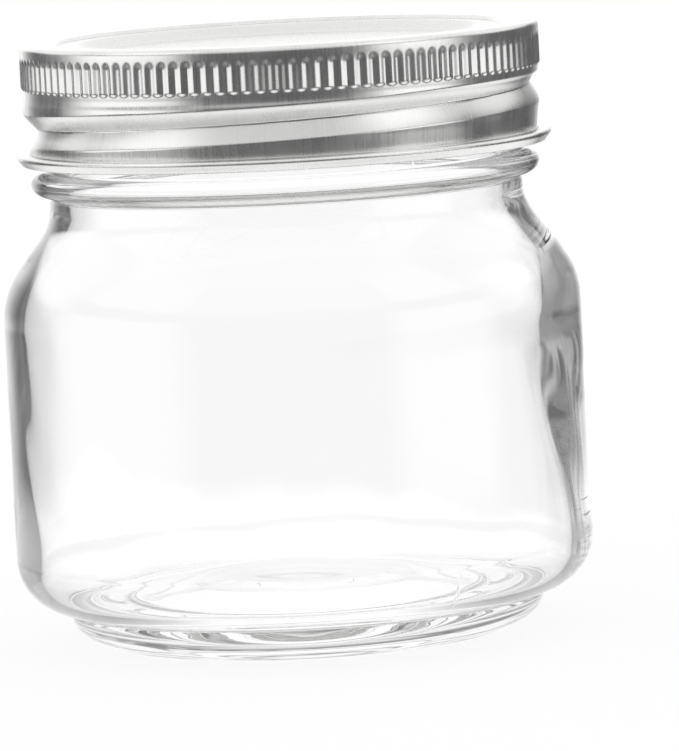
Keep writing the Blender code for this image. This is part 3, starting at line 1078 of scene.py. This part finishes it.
@dataclass
class ScrewBand:
    """The rolled screw band: flange, fluted grip, rolled thread, skirt and hem."""

    top: float
    radius: float
    lead: float
    sheet: float = 0.00025
    hem_radius: float = 0.00095
    hem_step: float = 0.0007
    hem_slant: float = 0.00058
    hem_trim: float = 0.00025
    hem_edge: float = 0.00055
    hem_edge_drop: float = 0.00006
    hem_round: float = 0.0003
    hem_low_edge: float = 0.00028
    hem_low_handles: Pair = (0.0002, 0.0001)
    hem_end: Pair = (0.00008, 0.00022)
    skirt_height: float = 0.0023
    skirt_flare: float = 0.00023
    skirt_tuck: float = 0.0002
    bulge: float = 0.0005
    bulge_start: float = 0.0001
    bulge_levels: tuple[float, float, float, float] = (0.0006, 0.0016, 0.0026, 0.0040)
    roll_width: float = 0.0032
    roll_depth: float = 0.00145
    roll_upper: float = 0.0021
    roll_lower: float = 0.0024
    roll_roundness: float = 0.12
    roll_full: float = 0.49
    roll_taper: float = 0.22
    roll_fade: float = 0.0006
    neck_in: float = 0.0006
    waist_depth: float = 0.00002
    waist_reach: float = 0.0018
    waist_handles: Pair = (0.4, 0.5)
    grip_height: float = 0.0059
    grip_rise: float = 0.000575
    grip_levels: tuple[float, float, float] = (0.00002, 0.0002, 0.0003)
    flange_width: float = 0.0045
    corner: float = 0.00075
    inner_corner: float = 0.0010
    lip: float = 0.00044
    flute_count: int = 124
    flute_floor: float = 0.02
    rib_crest: float = 0.03
    flute_depth: float = 0.00028
    flute_bottom: float = -0.0001
    flute_top: float = 0.0013
    flute_margin: float = 0.0001
    rib_end: float = 0.0006
    arch_height: float = 0.0012
    flank_columns: int = 3
    plain_columns: int = 310
    sharp_degrees: float = 60.0
    finish: BrushedTinplate = field(default_factory=BrushedTinplate)

    @property
    def neck_radius(self) -> float:
        """Radius of the plain wall between hem and thread."""
        return self.radius - self.hem_radius - self.hem_step

    @property
    def crest(self) -> float:
        """Radius of the grip's ribs."""
        return self.neck_radius + self.grip_rise

    @property
    def lip_radius(self) -> float:
        """Radius of the flange's turned-down edge."""
        return self.neck_radius + self.sheet / 2 - self.flange_width

    @property
    def zone(self) -> Pair:
        """Lowest and highest level of the rolled thread's zone."""
        top = self.top - self.grip_height - self.neck_in
        return top - self.lead * self.roll_full - self.roll_width, top

    @property
    def roll_middle(self) -> float:
        """Height of the rolled thread at the front."""
        return sum(self.zone) / 2.0

    @property
    def hem_middle(self) -> float:
        """Height of the middle of the hem."""
        return self.zone[0] - self.skirt_height

    def wall(self, inset: float) -> list[Pair]:
        """Ends and handles of the wall, from the skirt up to the foot of the grip.

        Args:
            inset: how far the skin lies inside the outer one.

        Returns:
            Both ends of a curve, a straight stretch and a curve, with their handles.
        """
        bottom, top = self.zone
        neck, reach = self.neck_radius - inset, self.waist_reach
        full, waist = neck + self.bulge, self.crest - self.flute_depth - self.waist_depth - inset
        levels = [bottom + level for level in self.bulge_levels]
        return [*zip((neck, neck + self.bulge_start, full, full), levels), (full, top - reach),
                *((radius, top - reach * share)
                  for radius, share in zip((full, waist), self.waist_handles)), (waist, top)]

    def lower_rows(self) -> list[Pair]:
        """Outer skin of the band, from the crease above the hem up to the grip."""
        wall = self.wall(0.0)
        crease = self.hem_middle + self.hem_radius - self.skirt_tuck
        rows = Section([(self.neck_radius - self.skirt_flare, crease)])
        rows.line(wall[0], 14)
        rows.curve(*wall[1:4], 22)
        rows.line(wall[4], 4)
        rows.curve(*wall[5:], 12)
        return rows.points

    def grip_rows(self) -> list[Pair]:
        """Outer skin of the band, from the foot of the grip up to the flange's lip."""
        crest, inner, lip, top = self.crest, self.lip_radius, self.lip, self.top
        # The flutes sink this skin, so it starts that much further out
        foot = crest - self.waist_depth
        first, second, third = (self.zone[1] + level for level in self.grip_levels)
        grip, flute_top = top - self.grip_height, top - self.flute_top
        rows = Section([(foot, first)])
        rows.curve((foot, second), (crest, third), (crest, grip - self.flute_margin), 4)
        for level, count in ((grip + self.rib_end, 9), (flute_top - self.arch_height, 2),
                             (flute_top + self.flute_margin, 10)):
            rows.line((crest, level), count)
        rows.arc((crest - self.corner, top - self.corner), self.corner, 0, 90, 8)
        rows.line((inner + lip * 1.5, top), 3)
        rows.curve((inner + lip * 1.1, top), (inner + lip * 0.8, top - lip * 0.2),
                   (inner, top - lip), 4)
        return rows.points

    def inner_rows(self) -> list[Pair]:
        """Inner skin of the band, from the lip down the inside and round the hem."""
        wall, under = self.wall(self.sheet), self.top - self.sheet
        inner, lip, corner = self.lip_radius, self.lip, self.inner_corner
        side = self.crest - self.flute_depth - self.sheet
        rows = Section([(inner + lip * 0.45, self.top - lip), (inner + lip * 1.5, under)])
        rows.line((side - corner, under), 2)
        rows.arc((side - corner, under - corner), corner, 90, 0, 4)
        rows.line((side, self.zone[1] + corner), 2)
        rows.line(wall[7], 3)
        rows.curve(wall[6], wall[5], wall[4], 6)
        rows.line(wall[3], 3)
        rows.curve(wall[2], wall[1], wall[0], 9)
        skirt, edge, soft = wall[0][0] - self.skirt_flare, self.hem_edge, self.hem_round
        lowest = self.hem_middle - self.hem_radius + self.hem_trim
        highest = self.hem_middle + self.hem_radius
        low_edge = (self.radius - self.hem_slant, lowest + self.hem_low_edge)
        tip = (self.radius, highest - edge - self.hem_edge_drop)
        far, near = self.hem_low_handles
        rows.line((skirt, self.hem_middle), 4)
        rows.curve((skirt, lowest + soft), (skirt + soft, lowest),
                   (self.radius - self.hem_radius, lowest), 5)
        rows.curve((low_edge[0] - far, lowest), (low_edge[0] - near, low_edge[1] - far),
                   low_edge, 5)
        rows.line(tip, 3)
        rows.arc((tip[0] - edge, tip[1]), edge, 0, 80, 6)
        rows.curve((tip[0] - edge * 2, highest), (skirt + soft, highest),
                   (skirt + self.hem_end[0], highest - self.hem_end[1]), 5)
        return rows.points

    def flute_angles(self) -> np.ndarray:
        """Angles of the outer columns, with close ones on the flanks of the flutes."""
        flank = 0.5 - self.flute_floor - self.rib_crest
        steps = self.flank_columns
        side = [self.flute_floor + flank * index / steps for index in range(steps + 1)]
        phases = np.array([0.0, *side, 0.5, *(1.0 - phase for phase in reversed(side))])
        turns = np.add.outer(np.arange(self.flute_count), phases).ravel() / self.flute_count
        return turns * math.tau - math.pi / 2

    def mesh(self) -> bpy.types.Mesh:
        """Skin the sheet, with close columns on the grip and wide ones elsewhere."""
        rings: list[np.ndarray] = []
        skins: list[float] = []
        plain = even_angles(self.plain_columns)
        for rows, angles, skin in ((self.lower_rows(), plain, Skin.OUTSIDE),
                                   (self.grip_rows(), self.flute_angles(), Skin.OUTSIDE),
                                   (self.inner_rows(), plain, Skin.INSIDE)):
            rings += turn_rings(*spread(rows, len(angles)), angles)
            skins += [skin.value] * len(rows)
        return ring_mesh("screw_band_rolled", rings, closed=True, skins=skins)

    def build(self) -> bpy.types.Object:
        """Make the band's skin, roll its thread, press its flutes and dress it."""
        material = self.finish.material()
        piece = place_mesh("screw_band_rolled", self.mesh())
        top = self.zone[1]
        press(piece, HelixTree().build(), material, {
            "Lead": self.lead, "Middle": self.roll_middle, "Middle Turn": 0.0,
            "Full Turns": self.roll_full, "Taper Turns": self.roll_taper, "Crest": 0.0,
            "Upper Root": self.roll_upper, "Lower Root": self.roll_lower,
            "Roundness": self.roll_roundness, "Rise": -self.roll_depth,
            "Bottom": self.hem_middle + self.hem_radius, "Top": top,
            "Fade": self.roll_fade, "Least Radius": 0.0})
        pitch = self.crest * math.tau / self.flute_count
        press(piece, FluteTree().build(), material, {
            "Count": float(self.flute_count), "Floor": pitch * self.flute_floor,
            "Crest": pitch * self.rib_crest, "Depth": self.flute_depth,
            "Bottom": self.top - self.grip_height + self.flute_bottom,
            "Top": self.top - self.flute_top, "Lowest": top + self.grip_levels[0] / 2})
        settle(piece, self.sharp_degrees)
        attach(piece, Body.BAND.value)
        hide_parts("screw_band")
        return piece


@dataclass(frozen=True)
class LightPanel:
    """One soft upright panel of the studio, by its angle from the jar's front."""

    azimuth: float
    half_width: float
    softness: float
    strength: float


@dataclass(frozen=True)
class View:
    """The camera of the photograph, in the frame of a 679 by 751 picture."""

    distance: float = 0.9121
    height: float = 0.1299
    pitch: float = 5.97
    roll: float = 3.02
    focal_px: float = 6975.7
    aim_px: Pair = (43.6, 2.7)
    picture_px: tuple[int, int] = (679, 751)
    sensor_mm: float = 36.0
    clip: Pair = (0.05, 20.0)

    def camera(self) -> bpy.types.Object:
        """Place the camera, aimed so that the jar stands left of the middle.

        Returns:
            The camera object.
        """
        pitch, roll = math.radians(self.pitch), math.radians(self.roll)
        ahead = Vector((0.0, math.cos(pitch), -math.sin(pitch)))
        level, upright = Vector((1.0, 0.0, 0.0)), Vector((0.0, math.sin(pitch), math.cos(pitch)))
        right = level * math.cos(roll) - upright * math.sin(roll)
        up = level * math.sin(roll) + upright * math.cos(roll)
        aim = (ahead * self.focal_px + right * self.aim_px[0] - up * self.aim_px[1]).normalized()
        right = (right - aim * right.dot(aim)).normalized()
        up = right.cross(aim)
        data = bpy.data.cameras.new("photo_view")
        data.sensor_fit = "AUTO"
        data.sensor_width = self.sensor_mm
        data.lens = self.focal_px * self.sensor_mm / max(self.picture_px)
        data.clip_start, data.clip_end = self.clip
        camera = bpy.data.objects.new("photo_view", data)
        turned = Matrix((right, up, -aim)).transposed().to_4x4()
        camera.matrix_world = Matrix.Translation((0.0, -self.distance, self.height)) @ turned
        bpy.context.scene.collection.objects.link(camera)
        bpy.context.scene.camera = camera
        return camera


@dataclass
class Studio:
    """A white studio: a grey floor with a painted glow, soft upright panels and the camera.

    Levels of light are 1 for white. A belt is a span of angles above the horizon,
    in degrees, in which one level turns into the next.
    """

    view: View = field(default_factory=View)
    panels: tuple[LightPanel, ...] = (
        LightPanel(-75.0, 28.0, 11.0, 1.3), LightPanel(63.0, 21.0, 8.0, 1.35),
        LightPanel(-174.0, 22.0, 10.0, 1.32))
    dim: float = 0.12
    haze: float = 0.76
    rear_gap: float = 1.03
    rear_turn: Pair = (-0.45, -0.1)
    sky: float = 0.97
    ground: float = 0.95
    gap: float = 0.28
    ground_belt: Pair = (-50.0, -32.0)
    rear_ground: float = 14.0
    rear_sink: Pair = (-0.4, 0.1)
    panel_foot: Pair = (-16.0, -6.0)
    gap_belt: Pair = (13.0, 19.0)
    haze_belt: Pair = (24.0, 31.0)
    sky_belt: Pair = (50.0, 68.0)
    fill: float = 0.88
    through: float = 0.965
    within: float = 0.93
    rim_left: Pair = (0.14, 0.22)
    rim_right: Pair = (0.16, 0.52)
    left_belt: tuple[float, float, float, float] = (-24.0, -16.0, 5.0, 12.0)
    right_belt: tuple[float, float, float, float] = (-45.0, -32.0, 10.0, 20.0)
    rim_sides: Pair = (-0.08, 0.08)
    rim_behind: Pair = (-0.6, -0.35)
    streak_scale: float = 8.0
    streak_stretch: float = 0.35
    streak_span: Pair = (0.38, 0.62)
    rim_floor: float = 0.22
    rim_aside: Pair = (0.008, 0.032)
    rim_rear: Pair = (0.03, 0.07)
    veil: float = 0.94
    floor_radius: float = 0.24
    floor_drop: float = 0.0002
    floor_columns: int = 96
    floor_fade: Pair = (0.13, 0.2352)
    floor_colour: str = "#5A5A5A"
    floor_lift: float = 0.91
    mirror_middle: tuple[float, float, float] = (0.0, 0.08, 0.0)
    mirror_reach: Pair = (0.155, 0.2)
    mirror_share: Pair = (1.12, 0.2)
    bounces: int = 32

    def inner_reflection(self, tree: bpy.types.NodeTree, rays: Any) -> bpy.types.Node:
        """Find the light that came in, bounced once inside a wall of glass and left.

        Args:
            tree: the tree that gets the nodes.
            rays: the outputs of its node that tells the kinds of ray apart.

        Returns:
            A node that is one for such light and zero for the rest.
        """
        few = add(tree, SUM, (rays["Transmission Depth"], 2.5), operation="LESS_THAN")
        bounced = add(tree, SUM, (rays["Glossy Depth"], 0.5), operation="GREATER_THAN")
        both = add(tree, SUM, (few, bounced), operation="MULTIPLY")
        return add(tree, SUM, (both, rays["Is Transmission Ray"]), operation="MULTIPLY")

    def rim_level(self, tree: bpy.types.NodeTree, azimuth: bpy.types.Node,
                  elevation: bpy.types.Node) -> bpy.types.Node:
        """How light the surroundings are that show in the edges of the glass.

        Args:
            tree: the tree that gets the nodes.
            azimuth: angle round the jar.
            elevation: angle above the horizon.

        Returns:
            A node with the level: dim, streaked stands to both sides and white elsewhere.
        """
        spin = add(tree, JOIN, (azimuth, elevation))
        stretch = add(tree, "ShaderNodeMapping", {
            "Vector": spin, "Scale": (1.0, self.streak_stretch, 1.0)})
        streaks = add(tree, NOISE, {
            "Vector": stretch, "Scale": self.streak_scale, "Detail": 1.0}, noise_dimensions="2D")
        sides = []
        for levels, belt in ((self.rim_left, self.left_belt), (self.rim_right, self.right_belt)):
            low, low_end, high_end, high = (math.radians(angle) for angle in belt)
            side = add(tree, RAMP, (streaks, *self.streak_span, *levels), **SOFT)
            side = add(tree, RAMP, (elevation, low, low_end, self.sky, side), **SOFT)
            sides.append(add(tree, RAMP, (elevation, high_end, high, side, self.sky), **SOFT))
        across = add(tree, SUM, (azimuth,), operation="SINE")
        ahead = add(tree, SUM, (azimuth,), operation="COSINE")
        level = add(tree, RAMP, (across, *self.rim_sides, *sides))
        return add(tree, RAMP, (ahead, *self.rim_behind, level, self.sky), **SOFT)

    def light(self) -> bpy.types.World:
        """Build the world: white to the eye and through glass, panelled in metal.

        Returns:
            The world, which is set on the scene.
        """
        world = bpy.data.worlds.new("soft_studio")
        world.use_nodes = True
        tree = world.node_tree
        tree.nodes.clear()
        way = add(tree, SPLIT, (add(tree, "ShaderNodeTexCoord").outputs["Generated"],)).outputs
        front = add(tree, SUM, (way["Y"], -1.0), operation="MULTIPLY")
        azimuth = add(tree, SUM, (way["X"], front), operation="ARCTAN2")
        elevation = add(tree, SUM, (way["Z"],), operation="ARCSINE")
        bright: Any = self.dim
        for panel in self.panels:
            off = add(tree, SUM, (azimuth, math.radians(panel.azimuth)), operation="SUBTRACT")
            near = add(tree, SUM, (off,), operation="COSINE")
            edges = (math.cos(math.radians(panel.half_width + side * panel.softness))
                     for side in (1.0, -1.0))
            lit = add(tree, RAMP, (near, *edges, self.dim, panel.strength), **SOFT)
            bright = add(tree, SUM, (lit, bright), operation="MAXIMUM")
        ahead = add(tree, SUM, (azimuth,), operation="COSINE")
        hazy = add(tree, SUM, (bright, self.haze), operation="MAXIMUM")
        upper = add(tree, RAMP, (ahead, *self.rear_turn, self.rear_gap, hazy), **SOFT)
        between = add(tree, RAMP, (ahead, *self.rear_turn, self.rear_gap, self.gap), **SOFT)
        sink = add(tree, RAMP, (ahead, *self.rear_sink, -math.radians(self.rear_ground), 0.0),
                   **SOFT)
        lowered = add(tree, SUM, (elevation, sink), operation="ADD")
        metal: Any = self.ground
        for height, belt, level in (
                (lowered, self.ground_belt, self.dim), (elevation, self.panel_foot, bright),
                (elevation, self.gap_belt, between), (elevation, self.haze_belt, upper),
                (elevation, self.sky_belt, self.sky)):
            start, end = (math.radians(angle) for angle in belt)
            metal = add(tree, RAMP, (height, start, end, metal, level), **SOFT)
        rays = add(tree, "ShaderNodeLightPath").outputs
        seen_through = add(tree, SUM, (rays["Transmission Depth"], 0.5), operation="GREATER_THAN")
        mirror = add(tree, RAMP, (seen_through, 0.0, 1.0, metal, self.within))
        glass = add(tree, RAMP, (self.inner_reflection(tree, rays), 0.0, 1.0, self.through,
                                 self.rim_level(tree, azimuth, elevation)))
        shown: Any = self.fill
        for kind, seen in (("Is Glossy Ray", mirror), ("Is Transmission Ray", glass),
                           ("Is Camera Ray", 1.0)):
            shown = add(tree, RAMP, (rays[kind], 0.0, 1.0, shown, seen))
        shine = add(tree, "ShaderNodeBackground", {
            "Color": linear("#FFFFFF"), "Strength": shown})
        add(tree, "ShaderNodeOutputWorld", {"Surface": shine})
        bpy.context.scene.world = world
        return world

    def floor_material(self) -> bpy.types.Material:
        """Grey floor paint that keeps the shadow, with a painted glow, fading into the backdrop."""
        material, tree, place = blank_material("glowing_grey_floor")
        rays = add(tree, "ShaderNodeLightPath").outputs
        axes = add(tree, SPLIT, (place,)).outputs
        away = add(tree, VECTOR, (place,), operation="LENGTH").outputs["Value"]
        # Painted glow: seen in metal, the floor glows brightest near a spot behind the jar and dims
        # farther away
        from_rear = add(tree, VECTOR, (place, self.mirror_middle), operation="DISTANCE")
        near = add(tree, RAMP, (from_rear.outputs["Value"], *self.mirror_reach,
                                *self.mirror_share), **SOFT)
        mirrored = add(tree, SUM, (rays["Is Glossy Ray"], near), operation="MULTIPLY")
        # Painted glow: the floor glows white to the camera and, a little less, when seen through
        # glass
        veiled = add(tree, SUM, (rays["Is Transmission Ray"], self.veil), operation="MULTIPLY")
        seen = add(tree, SUM, (rays["Is Camera Ray"], veiled), operation="MAXIMUM")
        shown = add(tree, SUM, (seen, mirrored), operation="MAXIMUM")
        # Painted shade: light bounced once inside a wall of glass sees the floor's glow dim at both
        # sides and behind the jar
        aside = add(tree, SUM, (axes["X"],), operation="ABSOLUTE")
        edges = add(tree, RAMP, (aside, *self.rim_aside, self.floor_lift, self.rim_floor), **SOFT)
        edges = add(tree, RAMP, (axes["Y"], *self.rim_rear, edges, self.rim_floor), **SOFT)
        inner = self.inner_reflection(tree, rays)
        lift = add(tree, RAMP, (inner, 0.0, 1.0, self.floor_lift, edges))
        strength = add(tree, SUM, (shown, lift), operation="MULTIPLY")
        paint = add(tree, "ShaderNodeBsdfDiffuse", {"Color": linear(self.floor_colour)})
        glow = add(tree, "ShaderNodeEmission", {"Strength": strength})
        both = add(tree, "ShaderNodeAddShader", (paint, glow))
        fade = add(tree, RAMP, (away, *self.floor_fade, 0.0, 1.0), **SOFT)
        clear = add(tree, "ShaderNodeBsdfTransparent")
        mixed = add(tree, "ShaderNodeMixShader", (fade, both, clear))
        add(tree, "ShaderNodeOutputMaterial", {"Surface": mixed})
        return material

    def floor(self) -> bpy.types.Object:
        """Lay the round floor just under the jar's foot."""
        rows = [(self.floor_radius, -self.floor_drop), (0.0, -self.floor_drop)]
        rings = turn_rings(*spread(rows, self.floor_columns), even_angles(self.floor_columns))
        mesh = ring_mesh("studio_floor", rings)
        mesh.materials.append(self.floor_material())
        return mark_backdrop(place_mesh("studio_floor", mesh))

    def build(self) -> None:
        """Set up the camera, the light and the floor."""
        self.view.camera()
        self.light()
        self.floor()
        bpy.context.scene.view_settings.view_transform = "Standard"
        # Light runs round inside the thick glass for many bounces before it leaves
        cycles = bpy.context.scene.cycles
        cycles.max_bounces = cycles.glossy_bounces = cycles.transmission_bounces = self.bounces


def main() -> None:
    """Build the studio and the four pieces, and note their size."""
    logging.basicConfig(level=logging.INFO, format="%(name)s: %(message)s")
    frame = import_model()
    sizes = Heights.from_frame(frame)
    Studio().build()
    band = ScrewBand(sizes.band_top, sizes.band_radius, sizes.lead)
    hem_bottom = band.hem_middle - band.hem_radius
    bead_middle = hem_bottom - GlassJar.bead_gap - GlassJar.bead_height / 2
    jar = GlassJar(sizes.jar_top, sizes.jar_radius, bead_middle, sizes.lead, band.roll_middle)
    ring = SealingRing(sizes.ring_bottom, sizes.ring_top)
    disc = LidDisc(sizes.disc_top, sizes.disc_radius)
    for part in (jar, ring, disc, band):
        piece = part.build()
        piece.data.calc_loop_triangles()
        LOG.info("%s: %d triangles on body %s", piece.name, len(piece.data.loop_triangles),
                 piece["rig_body"])


if __name__ == "__main__":
    main()
